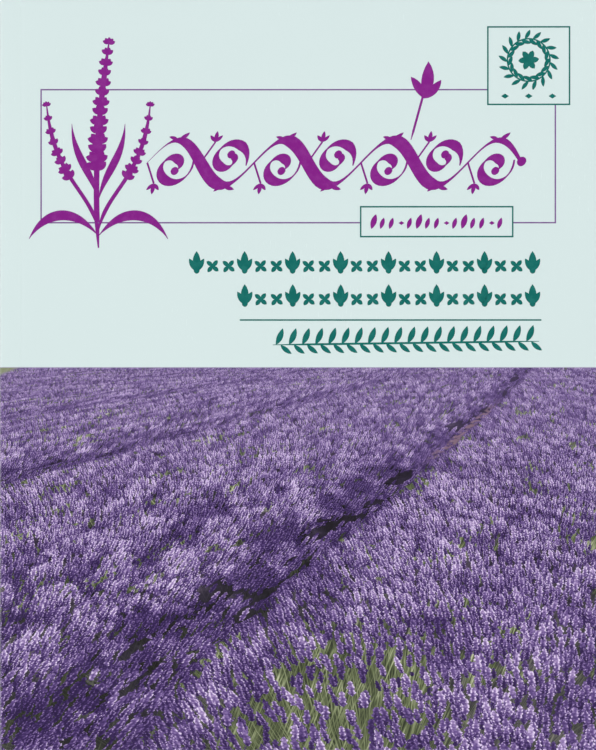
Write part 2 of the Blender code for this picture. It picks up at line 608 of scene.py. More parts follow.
# %% What grows where
CLUMP_LEFT, CLUMP_DROP = 0.97, 0.130  # middle of the clump of bare stems, as slant to the left and as drop
CLUMP_BREADTH, CLUMP_HEIGHT = 0.31, 0.035
BANK_SHADE = 0.50  # light left in the shade beside a furrow
LIT_CROWN, DARK_SKIRT = 1.16, 0.36  # light on the top of a bush and at its foot


def field_cover(tree, drop, slant, depth, phase, main):
    """Three values over the whole field: how well lit, how thin the bloom is, and how green it is below."""
    # Three clouded patterns make the bushes uneven, some areas paler, and the bloom patchy.
    mound = noise(tree, slant * 7.0 - depth * 13.0, depth * 8.0, 3.1, detail=3.0)
    patch = noise(tree, slant * 2.4, depth * 4.5, 8.7, detail=1.0)
    gap = noise(tree, slant * 6.5, (depth - 0.12) * 8.5, 5.5, detail=4.0)
    # Shade lies on the two banks of a furrow, and the right one has a lobed edge.
    left_bank = smooth(tree, phase, 0.0, 0.03, BANK_SHADE, 1.0)
    lobed = phase + (mound - 0.5) * -0.42 * smooth(tree, phase, 0.60, 0.80)
    right_bank = smooth(tree, lobed, 0.79, 0.95, 1.0, BANK_SHADE)
    furrowed = main.maths("MAXIMUM", smooth(tree, drop, 0.020, 0.050, 0.35, 1.0))
    light = (left_bank * right_bank - 1) * furrowed + 1
    light = light * smooth(tree, mound, 0.34, 0.60, 0.62, 1.10)
    light = light * smooth(tree, patch, 0.35, 0.65, 0.92, 1.08) * smooth(tree, drop, 0.125, 0.040, 1.0, 1.16)
    # A bush is lit at its crown and dark below, and there is one bush to each cell of a Voronoi pattern.
    bush_x = slant * BUSH_ACROSS - depth * BUSH_SKEW + (gap - 0.5) * 1.2
    bush_y = depth * BUSH_DOWN + (mound - 0.5) * 1.3
    crown = add_node(tree, "ShaderNodeTexVoronoi", ["Position"], {"voronoi_dimensions": "2D"}, Scale=1.0,
                     Randomness=0.85, Vector=vector(tree, bush_x, bush_y))[0]
    crown_x, crown_y = add_node(tree, "ShaderNodeSeparateXYZ", ["X", "Y"], Vector=crown)
    from_crown = (bush_y - crown_y) * 0.7 + (bush_x - crown_x) * 0.6 + (gap - 0.5) * 1.2
    rounded = smooth(tree, from_crown, -0.15, 0.55, LIT_CROWN, DARK_SKIRT)
    standing = smooth(tree, phase, 0.30, 0.60) * smooth(tree, drop, 0.030, 0.075, 0.25, 1.0)
    light = light * (rounded * standing + (1 - standing))
    # Bloom is thin beside a furrow, in a clump of bare stems low in the middle, and in scattered gaps.
    from_furrow = (phase - 0.97).maths("ABSOLUTE")
    bare = smooth(tree, from_furrow * 2.7 + (gap - 0.5) * 1.5, 0.05, -0.09, 0.0, 0.92) * furrowed
    near = smooth(tree, drop, 0.070, 0.125)
    clump_x = (slant - drop * 3.0 + CLUMP_LEFT) / CLUMP_BREADTH
    clump_y = (drop - CLUMP_DROP) / CLUMP_HEIGHT
    clump = (clump_x * clump_x + clump_y * clump_y).maths("SQRT") + (gap - 0.5) * 1.8
    stems = smooth(tree, clump, 1.35, 0.55) * smooth(tree, drop, 0.080, 0.105)
    sparse = smooth(tree, gap, 0.55, 0.66, 0.0, 0.70)
    thin = (near * 0.10 + 0.31).maths("MAXIMUM", bare).maths("MAXIMUM", stems * 0.75).maths("MAXIMUM", sparse)
    green = smooth(tree, gap, 0.48, 0.60).maths("MAXIMUM", stems).maths("MAXIMUM", near * 0.30)
    green = green * smooth(tree, phase, 0.90, 0.70, 0.30, 1.0)
    return light, thin, green


print("bare stems show around", round(CLUMP_DROP / MM), "mm below the place where the rows would meet")

# %% One layer of spikes
CELL, COURSE = 0.62, 1.05  # room for one spike, sideways and down, as shares of its length
LAYER_SHIFT = 0.618  # each layer starts this share of a course further down, so that no two line up
LEAN, LEAN_ACROSS = 0.46, 1.20  # lean on the right of a furrow, and how far it falls towards the next one
HALF_LENGTH, GROWTH = 0.31, 0.16  # half of the shortest spike, and how much longer the longest half is
SLIMNESS, TAPER = 0.52, 0.42  # breadth over length, and how blunt the two ends are
WHORLS, WHORL_SWELL, RAGGED = 9.5, 0.20, 0.55  # waves along the outline, their height, and its roughness
foot_spike = SPIKE_SCALE * VANISH_V**SPIKE_POWER
print(f"at the foot, a spike has {foot_spike * CELL / MM:.1f} x {foot_spike * COURSE / MM:.1f} mm")


def spike_layer(tree, number, u, drop, phase, light, thin):
    """The outline of this layer's spikes as a mask, and how light each point on them is."""
    # Spikes get longer towards the foot of the picture, and the courses that they stand in keep pace.
    rest = 1 - SPIKE_POWER
    course_rate = 1 / (rest * SPIKE_SCALE * COURSE)
    shift = (number * LAYER_SHIFT) % 1
    course = drop.maths("POWER", rest) * course_rate + shift
    row = course.maths("FLOOR")
    centre_drop = ((row + (0.5 - shift)) * (1 / course_rate)).maths("MAXIMUM", 1e-4).maths("POWER", 1 / rest)
    length = centre_drop.maths("POWER", SPIKE_POWER) * SPIKE_SCALE
    below = (drop - centre_drop) / length
    lean = LEAN - phase * LEAN_ACROSS
    # Each course is cut into cells with one spike in each, which leans, stands and grows by random values.
    random_row = add_node(tree, "ShaderNodeTexWhiteNoise", ["Value"], {"noise_dimensions": "2D"},
                          Vector=vector(tree, row, number * 7.31))[0]
    across = (u - VANISH_U) / length - lean * below
    cell = across * (1 / CELL) + random_row * 9
    column = cell.maths("FLOOR")
    random_spike = add_node(tree, "ShaderNodeTexWhiteNoise", ["Color"],
                            Vector=vector(tree, column, row, number * 3.7 + 0.5))[0]
    chance, size, turn = add_node(tree, "ShaderNodeSeparateColor", ["Red", "Green", "Blue"],
                                  Color=random_spike)
    # `along` goes from -1 at a spike's tip to 1 at its foot, and `beside` from -1 to 1 across it.
    half = size * GROWTH + HALF_LENGTH
    along = (below - (turn - 0.5) * 0.34) / half
    aside = (cell - column - 0.5) * CELL - (chance - 0.5) * 0.20 - (turn - 0.5) * 0.50 * below
    beside = aside / (half * SLIMNESS)
    # The outline is a tapered stack of whorls with a ragged edge, and its florets catch the light.
    whorls = 1 + (along * WHORLS + turn * 6).maths("SINE") * WHORL_SWELL
    taper = (1 - along * along).maths("MAXIMUM", 0.0).maths("POWER", TAPER)
    florets = add_node(tree, "ShaderNodeTexVoronoi", ["Distance"], {"voronoi_dimensions": "2D"},
                       Vector=vector(tree, beside * 1.25 + column * 3.7, along * 3.1 + row * 5.3), Scale=1.0,
                       Randomness=0.9)[0]
    outline = (taper * whorls * (0.96 + along * 0.14)).maths("MAXIMUM", 0.01)
    edge = beside.maths("ABSOLUTE") / outline + (florets - 0.35) * RAGGED
    mask = smooth(tree, edge, 1.05, 0.85) * (chance - thin).maths("GREATER_THAN", 0.0)
    rim = smooth(tree, edge, 0.10, 0.80)
    speckle = smooth(tree, florets, 0.60, 0.12) * (light * 0.5 + 0.5)
    body = beside * 0.05 + along * -0.16 + (size - 0.5) * 0.24 + (chance - 0.5) * 0.12 + 0.19
    tone = (body + rim * 0.10) * light + speckle * (rim * 0.50 + 0.20)
    return mask, tone


# %% Colours of the picture
LILAC = [(0.0, screen_colour(28, 18, 46)), (0.20, screen_colour(58, 39, 90)),
         (0.42, screen_colour(108, 84, 143)), (0.62, screen_colour(155, 131, 182)),
         (0.82, screen_colour(199, 177, 221)), (1.0, screen_colour(230, 214, 242))]
SHADE = [(0.15, screen_colour(24, 21, 26)), (0.45, screen_colour(46, 39, 56)),
         (0.72, screen_colour(76, 66, 84)), (0.95, screen_colour(114, 106, 108))]
STEMS = [(0.10, screen_colour(48, 53, 40)), (0.40, screen_colour(92, 101, 70)),
         (0.70, screen_colour(138, 147, 110)), (0.95, screen_colour(192, 196, 162))]
SOIL, GRASS, HAZE = screen_colour(139, 112, 120), screen_colour(140, 152, 104), screen_colour(149, 125, 186)
print(len(LILAC), "stops of lilac,", len(SHADE), "of shade and", len(STEMS), "of green")

# %% The whole picture
FIELD_LAYERS, FIRST_LIGHT, LIGHT_ADDED = 8, 0.34, 0.72  # the lowest layer's light, and what the top one adds
TRACK_AT, TRACK_LENGTH = 0.034, 0.012  # bare soil in the main furrow, around this drop
FAN_U, FAN_DEPTH = 0.125, 0.05  # the stems fan out from this place, which lies below the tail
HAZE_SHARE, GRASS_SHARE = 0.13, 0.8  # how far haze and grass cover the bloom at most


def field_colour(tree, u, v):
    """The printed picture: shade and stems below, then the layers of spikes, each lighter than the last."""
    drop, slant, depth, phase, main = field_rows(tree, u, v)
    light, thin, green = field_cover(tree, drop, slant, depth, phase, main)
    # Under the bloom lie soil and shade, with green stems that fan out and cross.
    soil = noise(tree, slant * 16.0, depth * 45.0, 1.2, detail=3.0)
    sway = noise(tree, u * 55.0, v * 40.0, 6.6, detail=1.0) * 0.10
    fan = (u - FAN_U) / (v.maths("MAXIMUM", 0.0) + FAN_DEPTH) + sway
    upright = noise(tree, fan * 240.0, v * 85.0, 2.4, detail=2.0)
    leaning = noise(tree, u * 1300.0 - v * 520.0, v * 110.0, 9.1, detail=1.0)
    streak = upright.maths("MAXIMUM", leaning)
    shade = ramp(tree, (soil * 0.7 + streak * 0.5 - 0.12) * light, SHADE)
    stems = ramp(tree, (streak * 2.6 - 1.0) * (light * 0.5 + 0.5), STEMS)
    colour = mix(tree, green, shade, stems)
    for number in range(FIELD_LAYERS):
        mask, tone = spike_layer(tree, number + 1, u, drop, phase, light, thin)
        lift = FIRST_LIGHT + LIGHT_ADDED * number / (FIELD_LAYERS - 1)
        colour = mix(tree, mask, colour, ramp(tree, tone * lift + 0.05, LILAC))
    # Over the bloom come the bare track, the haze towards the horizon and the grass at the upper corner.
    track = smooth(tree, (phase - 0.985).maths("ABSOLUTE"), 0.022, 0.008) * main
    track = track * smooth(tree, (drop - TRACK_AT).maths("ABSOLUTE"), TRACK_LENGTH, TRACK_LENGTH * 0.4)
    colour = mix(tree, track * smooth(tree, soil, 0.40, 0.52, 0.0, 0.8), colour, SOIL)
    colour = mix(tree, smooth(tree, drop, 0.060, 0.015, 0.0, HAZE_SHARE), colour, HAZE)
    from_corner = u.maths("ABSOLUTE") * 0.4 - v + FIELD_TOP + soil * 0.002
    return mix(tree, smooth(tree, from_corner, 0.0044, 0.0030, 0.0, GRASS_SHARE), colour, GRASS)


print("the field has", FIELD_LAYERS, "layers of spikes")

# %% [markdown]
# ## The laminated sheet
#
# The printed side of a cover is ink on white-coated card under a clear gloss film. Two materials share one
# film: the pale upper part and the picture. The pattern could use Object coordinates, but the cover bends,
# and a pattern that stays in space would slide over it. So both read the print map, made while flat.

# %% Place on the sheet, and wear
PALE = screen_colour(217, 233, 232)
PALE_FIBRE = screen_colour(207, 223, 223)
WHITE_CARD = screen_colour(238, 239, 236)
LINE_TINT = screen_colour(176, 180, 196)
PICTURE_LINE = 0.25 * MM  # light line between the picture and the panel above it
RUBBED_OFF, UNTOUCHED = 0.30 * MM, 0.62 * MM  # distance from an edge where wear is full, and where it ends
RUB_SHARE, RUB_SPOTS = 0.75, 0.9 * MM  # how much ink is gone at most, and how far the spots break the line


def print_place(tree):
    """Where a point lies on the flat sheet, in metres from the front's spine edge and from the tail."""
    uv = add_node(tree, "ShaderNodeUVMap", ["UV"], {"uv_map": "Print"})[0]
    return add_node(tree, "ShaderNodeSeparateXYZ", ["X", "Y"], Vector=uv)


def rubbed(tree, u, v):
    """How far the ink is rubbed off: a little along the folds and the trimmed edges, in broken spots."""
    lines = [u.maths("ABSOLUTE"), (u + THICKNESS).maths("ABSOLUTE"), (u - WIDTH).maths("ABSOLUTE"),
             (u + (THICKNESS + WIDTH)).maths("ABSOLUTE"), v, HEIGHT - v]
    nearest = lines[0]
    for line in lines[1:]:
        nearest = nearest.maths("MINIMUM", line)
    spots = noise(tree, u * 900, v * 900, detail=3.0)
    return smooth(tree, nearest + spots * RUB_SPOTS, UNTOUCHED, RUBBED_OFF, 0.0, RUB_SHARE)


print("the print is measured from its spine edge,", round(WIDTH / MM), "mm from the fore edge")


# %% Ink under film
FILM = dict(IOR=1.5, Coat_Weight=0.15, Coat_Roughness=0.08)  # clear plastic over the ink
CLEAN, HANDLED = 0.17, 0.27  # roughness of the film where it is clean, and where hands have dulled it


def laminate(name, ink):
    """A printed finish under the gloss film. `ink` makes the printed colour from the place on the sheet."""
    tree, shader = new_finish(name, **FILM)
    u, v = print_place(tree)
    feed(tree, shader.inputs["Base Color"], mix(tree, rubbed(tree, u, v), ink(tree, u, v), WHITE_CARD))
    handling = noise(tree, u * 28, v * 28, detail=4.0)
    scuffs = noise(tree, u * 2200, v * 260, 4.0, detail=2.0)
    gloss = smooth(tree, handling, 0.35, 0.7, CLEAN, HANDLED) + smooth(tree, scuffs, 0.62, 0.8, 0.0, 0.08)
    feed(tree, shader.inputs["Roughness"], gloss)
    orange_peel = noise(tree, u * 700, v * 700, detail=2.0)
    bump(tree, shader, orange_peel, 0.012 * MM, 0.6)
    return tree


def pale_ink(tree, u, v):
    """The panel's pale tint, a little uneven, with the card's fibres showing through."""
    fibres = noise(tree, u * 2600, v * 2600, detail=2.0)
    tint = noise(tree, u * 9, v * 9, 6.0, detail=2.0)
    share = smooth(tree, tint, 0.4, 0.6, 0.0, 0.10) + fibres * 0.10
    return mix(tree, share, PALE, PALE_FIBRE)


def picture_ink(tree, u, v):
    """The picture, with a thin light line along its upper edge."""
    line = smooth(tree, v, FIELD_TOP - PICTURE_LINE * 1.2, FIELD_TOP - PICTURE_LINE * 0.6)
    return mix(tree, line, field_colour(tree, u, v), LINE_TINT)


laminate("cover_laminate", pale_ink)
picture_tree = laminate("cover_picture", picture_ink)
print("the picture's finish has", len(picture_tree.nodes), "nodes")

# %% [markdown]
# ## Bare card, paper and glue
#
# Under the print there is white card, which shows on the inside of the cover and, as a fibrous grey line,
# on its cut edges. Paper is warmer, and it is rougher at the trimmed edge than on its face. Hot-melt glue is
# cream and waxy. None of them has a pattern of its own, so fine noise at the true size of fibres does it.

# %% Finishes of card and paper
AGED_CARD = screen_colour(226, 222, 208)


def place_in_space(tree):
    """Where a point lies in the piece's own space, which is the book's space too."""
    place = add_node(tree, "ShaderNodeTexCoord", ["Object"])[0]
    return add_node(tree, "ShaderNodeSeparateXYZ", ["X", "Y", "Z"], Vector=place)


def card_finish(name, light, dark, grain):
    """Card seen on its inside or its cut edge. The grain is the number of fibres to a metre each way."""
    tree, shader = new_finish(name, Roughness=0.62)
    u, v = print_place(tree)
    fibres = noise(tree, u * grain[0], v * grain[1], 2.0, detail=4.0)
    clouds = noise(tree, u * 60, v * 60, 5.0, detail=3.0)
    colour = mix(tree, smooth(tree, fibres, 0.35, 0.7), light, dark)
    aged = smooth(tree, clouds, 0.45, 0.75, 0.0, 0.25)
    feed(tree, shader.inputs["Base Color"], mix(tree, aged, colour, AGED_CARD))
    bump(tree, shader, fibres, 0.02 * MM, 0.7)


def paper_finish(name, light, dark, grain, roughness):
    """Uncoated paper. The grain is the number of fibres to a metre each way, and light goes in a little."""
    tree, shader = new_finish(name, Roughness=roughness, Subsurface_Weight=0.05)
    feed(tree, shader.inputs["Subsurface Radius"], (0.4 * MM, 0.35 * MM, 0.3 * MM))
    x, y, z = place_in_space(tree)
    fibres = noise(tree, x * grain[0], y * grain[1], z * grain[2], detail=4.0)
    clouds = noise(tree, x * 45, y * 45, z * 900, detail=2.0)
    colour = mix(tree, smooth(tree, fibres * 0.85 + clouds * 0.15, 0.36, 0.64), light, dark)
    feed(tree, shader.inputs["Base Color"], colour)
    bump(tree, shader, fibres, 0.02 * MM, 0.8)


card_finish("card_inside", screen_colour(240, 240, 235), screen_colour(230, 230, 224), (1400, 2600))
card_finish("card_core", screen_colour(226, 226, 220), screen_colour(186, 186, 180), (4000, 700))
paper_finish("leaf_paper", screen_colour(238, 233, 220), screen_colour(229, 223, 207),
             grain=(1800, 1200, 1800), roughness=0.85)
paper_finish("leaf_edge", screen_colour(231, 225, 209), screen_colour(196, 189, 172),
             grain=(500, 500, 14000), roughness=0.9)
print("card and paper are finished")

# %% Finish of the glue
tree, shader = new_finish("binding_glue", Subsurface_Weight=0.2)
feed(tree, shader.inputs["Subsurface Radius"], (1.0 * MM, 0.8 * MM, 0.5 * MM))
x, y, z = place_in_space(tree)
flow = noise(tree, x * 500, y * 260, z * 500, detail=3.0)
wax = mix(tree, smooth(tree, flow, 0.35, 0.65), screen_colour(226, 212, 176), screen_colour(203, 184, 142))
feed(tree, shader.inputs["Base Color"], wax)
feed(tree, shader.inputs["Roughness"], smooth(tree, flow, 0.3, 0.7, 0.35, 0.6))
bump(tree, shader, flow, 0.1 * MM)
for name in ("front_side_glue", "back_side_glue"):
    frame["nodes"][name].data.materials.clear()
    frame["nodes"][name].data.materials.append(bpy.data.materials["binding_glue"])
print("glue is on the film and on both side strips")

# %% [markdown]
# ## Printing inks
#
# The ornaments are in two spot inks, purple and teal. The thin frame is a tint of the purple, and the label
# on the back is white. Offset ink lies unevenly on its card, so each has a faint mottle, in its colour, in
# its gloss and, very slightly, in its height.

# %% Mix the inks
def ink_finish(name, colour, thin_colour):
    """A spot ink that is a little thinner in places."""
    tree, shader = new_finish(name, **FILM)
    x, y, z = place_in_space(tree)
    mottle = noise(tree, x * 420, y * 420, z * 420, detail=4.0)
    spots = noise(tree, x * 3000, y * 3000, z * 3000, detail=1.0)
    printed = mix(tree, smooth(tree, mottle * 0.7 + spots * 0.3, 0.42, 0.66, 0.0, 0.6), colour, thin_colour)
    feed(tree, shader.inputs["Base Color"], printed)
    feed(tree, shader.inputs["Roughness"], smooth(tree, mottle, 0.3, 0.7, CLEAN, HANDLED))
    bump(tree, shader, mottle, 0.01 * MM, 0.5)


ink_finish("purple_ink", screen_colour(132, 28, 134), screen_colour(143, 46, 145))
ink_finish("teal_ink", screen_colour(12, 104, 97), screen_colour(28, 120, 112))
ink_finish("frame_ink", screen_colour(121, 82, 142), screen_colour(138, 102, 157))
ink_finish("white_ink", screen_colour(240, 242, 240), screen_colour(232, 236, 235))
print("four inks are mixed")

# %% [markdown]
# ## A printer's plates
#
# The print on the pale panel is thin flat ornament: rules, leaves, buds and pen scrolls. It could be drawn
# in the shader, but then its edges would blur if the finish were baked into an image. Here each shape is a
# flat strip of faces, as wide as a pen or a leaf would make it. The ornaments are laid out on the flat sheet,
# like a printer's plates, then wrapped on the book and pressed on to its surface as a very thin solid.

# %% Strips and rules
RULE_STEP = 8 * MM  # length of one face of a straight rule


def ribbon(path, width, steps=16):
    """A flat strip whose middle follows path(t) and whose breadth is width(t, heading), for t from 0 to 1."""
    bpy.ops.object.select_all(action="DESELECT")
    bpy.ops.mesh.primitive_grid_add(x_subdivisions=steps, y_subdivisions=1, size=2)
    strip = bpy.context.object
    for vertex in strip.data.vertices:
        t, side = (vertex.co.x + 1) / 2, vertex.co.y
        along = path(t + 0.001) - path(t - 0.001)
        heading = math.atan2(along.y, along.x)
        across = Vector((-math.sin(heading), math.cos(heading), 0))
        vertex.co = path(t) + across * side * width(t, heading) / 2
    bpy.ops.object.mode_set(mode="EDIT")
    bpy.ops.mesh.select_all(action="SELECT")
    bpy.ops.mesh.remove_doubles(threshold=NEAR)
    bpy.ops.object.mode_set(mode="OBJECT")
    return strip


def straight(start, end):
    """The path of a straight strip."""
    start, end = Vector((*start, 0)), Vector((*end, 0))
    return lambda t: start + (end - start) * t


def even(breadth):
    """The same breadth all along a strip."""
    return lambda t, heading: breadth


def rule(start, end, breadth):
    """A straight printed line, in pieces short enough to follow the curl of the cover."""
    return ribbon(straight(start, end), even(breadth), steps=max(1, round(math.dist(start, end) / RULE_STEP)))


def box_of_rules(left, right, bottom, top, breadth):
    """Four rules round a box, each long enough to fill its corners."""
    corners = [(left, bottom), (right, bottom), (right, top), (left, top)]
    over = breadth / 2
    sides = []
    for start, end in zip(corners, corners[1:] + corners[:1]):
        way = (Vector(end) - Vector(start)).normalized() * over
        sides.append(rule(Vector(start) - way, Vector(end) + way, breadth))
    return sides


print("a rule has a face every", round(RULE_STEP / MM), "mm")


# %% Petals and leaves
def belly(t):
    """Nothing at both ends of a leaf, and 1 at its middle."""
    return math.sin(math.pi * min(max(t, 0), 1))


def petal(length, breadth, bow=0.0, steps=8, fullness=0.8):
    """A pointed leaf or petal along +X from the origin. The bow bends its tip to the left."""
    def path(t):
        return Vector((length * t, bow * length * t * t, 0))
    return ribbon(path, lambda t, heading: breadth * max(0.0, belly(t)) ** fullness, steps)


patterns = {
    "leaf": petal(5 * MM, 1.7 * MM, bow=0.16),
    "small_leaf": petal(3.2 * MM, 1.15 * MM, bow=0.12, steps=6),
    "lance": petal(5 * MM, 1.9 * MM, steps=8),
    "lozenge": petal(2.0 * MM, 1.3 * MM, steps=2, fullness=1.0),
    "floret": petal(2.6 * MM, 1.5 * MM, bow=0.10, steps=6, fullness=0.6),
}
print(len(patterns), "patterns for stamping:", ", ".join(patterns))


# %% Stamps and pen lines
def stamp(pattern, places):
    """Copies a pattern to each place, given as (u, v, turn, size), each copy with a mesh of its own."""
    copies = []
    for u, v, turn, size in places:
        copy = pattern.copy()
        copy.data = pattern.data.copy()
        place = Matrix.Translation((u, v, 0)) @ Matrix.Rotation(turn, 4, "Z") @ Matrix.Scale(size, 4)
        copy.data.transform(place)
        bpy.context.scene.collection.objects.link(copy)
        copies.append(copy)
    return copies


def flower(u, v, size, petals=6, first=0):
    """Petals all round a point, the first of them turned by so many degrees."""
    turns = [math.radians(first + 360 / petals * number) for number in range(petals)]
    return stamp(patterns["floret"], [(u, v, turn, size) for turn in turns])


def nib(broad, fine, angle=math.radians(52)):
    """The breadth of a pen line: broad where it runs across the nib, fine where it runs along it."""
    return lambda t, heading: (fine + (broad - fine) * abs(math.sin(heading - angle)) ** 1.5) * min(
        1.0, 0.25 + 5 * max(t, 0), 0.25 + 5 * max(1 - t, 0))


print(f"a 2 mm pen draws a level line {nib(2, 0.5)(0.5, 0):.1f} mm broad")


# %% Press a plate on to the book
INK_LIFT, INK_ROOT = 0.03 * MM, 0.02 * MM  # how far ink stands above the surface and reaches into it
STAGGER = 0.2e-3 * MM  # each strip lies this much above the one before, so that no two tops coincide
CLEAR = 5 * MM  # where a ray starts above the surface, when it looks for the surface


def on_cover(u, v):
    """Where a place on the flat print lies on the folded book, and the way out of the surface there."""
    if u >= 0:
        return Vector((SPINE_FACE + u, TAIL + v, THICKNESS)), Vector((0, 0, 1))
    if u >= -THICKNESS:
        return Vector((SPINE_FACE, TAIL + v, THICKNESS + u)), Vector((-1, 0, 0))
    return Vector((SPINE_FACE - THICKNESS - u, TAIL + v, 0)), Vector((0, 0, -1))


def on_title_leaf(u, v):
    """The same for a place on the title leaf."""
    return Vector((SPINE_FACE + u, TAIL + v, BLOCK_TOP)), Vector((0, 0, 1))


def press(name, strips, ink, ground, place=on_cover):
    """Joins strips into one plate and lays it on a piece as a very thin closed solid."""
    for number, strip in enumerate(strips):
        for vertex in strip.data.vertices:
            vertex.co.z = number * STAGGER
    plate = join(name, strips)
    bpy.context.view_layer.update()
    for vertex in plate.data.vertices:
        flat, outward = place(vertex.co.x, vertex.co.y)
        hit, touched, _, _ = ground.ray_cast(flat + outward * CLEAR, -outward)
        assert hit, f"{name} runs off the surface at {flat}"
        vertex.co = touched + outward * (INK_LIFT + vertex.co.z)
    plate.data.materials.append(bpy.data.materials[ink])
    apply(plate, "SOLIDIFY", thickness=INK_LIFT + INK_ROOT, offset=-1)
    for layer in list(plate.data.uv_layers):
        plate.data.uv_layers.remove(layer)
    print(f"{name}: {len(plate.data.polygons)} faces")
    return plate


print(f"ink stands {INK_LIFT / MM:.2f} mm proud of the card")

# %% [markdown]
# ## The front's ornaments
#
# The front says what the book is with ornament alone. Lettering would make it one certain book, and this
# part is to stand for any, so each line of type has an ornament of the same weight and ink in its place: a
# tall sprig for the initial, a pen scroll for the title, rows of fleurons and leaves for the smaller lines.
# All sizes here are metres on the flat front, from the spine edge and from the tail.

# %% Rules and boxes
RULE, BOX_RULE = 0.46 * MM, 0.5 * MM
FRAME_LEFT, FRAME_RIGHT, FRAME_BOTTOM, FRAME_TOP = 0.0141, 0.1880, 0.1785, 0.2235
EMBLEM = dict(left=0.1652, right=0.1928, bottom=0.2185, top=0.2447)
SMALL_BOX = dict(left=0.1222, right=0.1736, bottom=0.1738, top=0.1839)
patterns["dot"] = petal(2.4 * MM, 2.4 * MM, steps=10, fullness=0.5)

frame_rules = [
    rule((FRAME_LEFT, FRAME_BOTTOM - RULE / 2), (FRAME_LEFT, FRAME_TOP + RULE / 2), RULE),
    rule((FRAME_LEFT, FRAME_TOP), (EMBLEM["left"], FRAME_TOP), RULE),
    rule((FRAME_RIGHT, EMBLEM["bottom"]), (FRAME_RIGHT, FRAME_BOTTOM - RULE / 2), RULE),
    rule((FRAME_RIGHT, FRAME_BOTTOM), (SMALL_BOX["right"], FRAME_BOTTOM), RULE),
    rule((SMALL_BOX["left"], FRAME_BOTTOM), (FRAME_LEFT, FRAME_BOTTOM), RULE),
]
front_plates = [press("frame_rules", frame_rules, "frame_ink", cover)]
boxes = box_of_rules(**EMBLEM, breadth=BOX_RULE) + box_of_rules(**SMALL_BOX, breadth=BOX_RULE)
boxes.append(rule((0.0813, 0.1456), (0.1833, 0.1456), BOX_RULE))
front_plates.append(press("teal_rules", boxes, "teal_ink", cover))


# %% The title scroll
def coil(centre, start, sweep, outer, inner, ball):
    """A pen line that winds inwards round a centre and ends in a ball."""
    def path(t):
        angle, radius = start + sweep * t, outer + (inner - outer) * min(max(t, 0), 1) ** 0.8
        return centre + Vector((math.cos(angle), math.sin(angle), 0)) * radius
    end = path(1.0)
    return path, stamp(patterns["dot"], [(end.x - ball * 1.2 * MM, end.y, 0, ball)])


BAND_LEFT, BAND_RIGHT, BAND_MIDDLE = 0.0500, 0.1765, 0.1988
BAYS, SWING, SLOPE = 7, 7.6 * MM, 0.20
COIL_DROP, COIL_OUTER, COIL_INNER = 1.4 * MM, 6.9 * MM, 1.6 * MM
COIL_START, COIL_SWEEP = 0.35, 2.45 * math.pi
bay = (BAND_RIGHT - BAND_LEFT) / BAYS
title_pen, fine_pen = nib(4.2 * MM, 0.6 * MM), nib(3.3 * MM, 0.55 * MM)


def stem_of_title(t):
    """The wave that runs through the scroll from left to right."""
    u = BAND_LEFT + (BAND_RIGHT - BAND_LEFT) * t
    return Vector((u, BAND_MIDDLE + SWING * math.sin(math.pi * BAYS * t), 0))


title = [ribbon(stem_of_title, title_pen, steps=BAYS * 16)]
for number in range(BAYS):
    up = 1 if number % 2 == 0 else -1
    centre = Vector((BAND_LEFT + bay * (number + 0.50), BAND_MIDDLE - up * COIL_DROP, 0))
    path, ball = coil(centre, up * COIL_START, -up * COIL_SWEEP, COIL_OUTER, COIL_INNER, 1.15)
    title += [ribbon(path, fine_pen, steps=40)] + ball
    crossing = stem_of_title(number / BAYS)
    foot = crossing + Vector((0.20 * bay, -up * 7.0 * MM, 0))
    title.append(ribbon(straight(crossing.xy, foot.xy), even(0.6 * MM), steps=4))
    title += stamp(patterns["lance"], [(foot.x, foot.y, -up * math.pi / 2 + turn, size) for turn, size in
                                       ((-0.75, 0.62), (0.0, 0.74), (0.75, 0.62))])
    crest = centre + Vector((0, up * (SWING + COIL_DROP), 0))
    title += stamp(patterns["leaf"], [(crest.x, crest.y, up * 0.5, 0.85),
                                      (crest.x, crest.y, math.pi - up * 0.5, 0.7)])
title += stamp(patterns["dot"], [(BAND_RIGHT - 1.6 * MM, BAND_MIDDLE + 0.4 * MM, 0, 1.35)])
for strip in title:
    for vertex in strip.data.vertices:
        vertex.co.x += (vertex.co.y - BAND_MIDDLE) * SLOPE
title.append(ribbon(straight((0.1392, 0.2065), (0.1440, 0.2240)), nib(1.3 * MM, 0.6 * MM), steps=6))
title += stamp(patterns["leaf"], [(0.1436, 0.2205, math.radians(turn), size) for turn, size in
                                  ((74, 2.5), (112, 1.7), (38, 1.7))])
front_plates.append(press("title_scroll", title, "purple_ink", cover))


# %% The tall sprig at the head of the title
def bezier(*points):
    """A smooth path through space from four control points."""
    a, b, c, d = [Vector((*point, 0)) for point in points]
    return lambda t: a * (1 - t) ** 3 + b * 3 * t * (1 - t) ** 2 + c * 3 * t * t * (1 - t) + d * t**3


def to_side(middle, side, points):
    """A smooth path to one side, from four points given as distance out from the middle and height."""
    return bezier(*[(middle + side * out, v) for out, v in points])


def sprig(path, whorls, first, last, size):
    """Florets in whorls on a stem, from one share of its length to another, smaller towards the tip."""
    florets = []
    for number in range(whorls):
        t = first + (last - first) * number / (whorls - 1)
        here, along = path(t), path(t + 0.01) - path(t - 0.01)
        heading = math.atan2(along.y, along.x)
        shrink = size * (1 - 0.45 * number / (whorls - 1))
        fan = (-1.15, -0.62, 0.0, 0.62, 1.15) if number % 2 else (-0.9, -0.3, 0.3, 0.9)
        florets += stamp(patterns["floret"], [(here.x, here.y, heading + turn, shrink) for turn in fan])
    return florets


def leaf_blade(path, breadth):
    """A long leaf, widest at its middle."""
    return ribbon(path, lambda t, heading: breadth * max(0.04, belly(t)), steps=24)


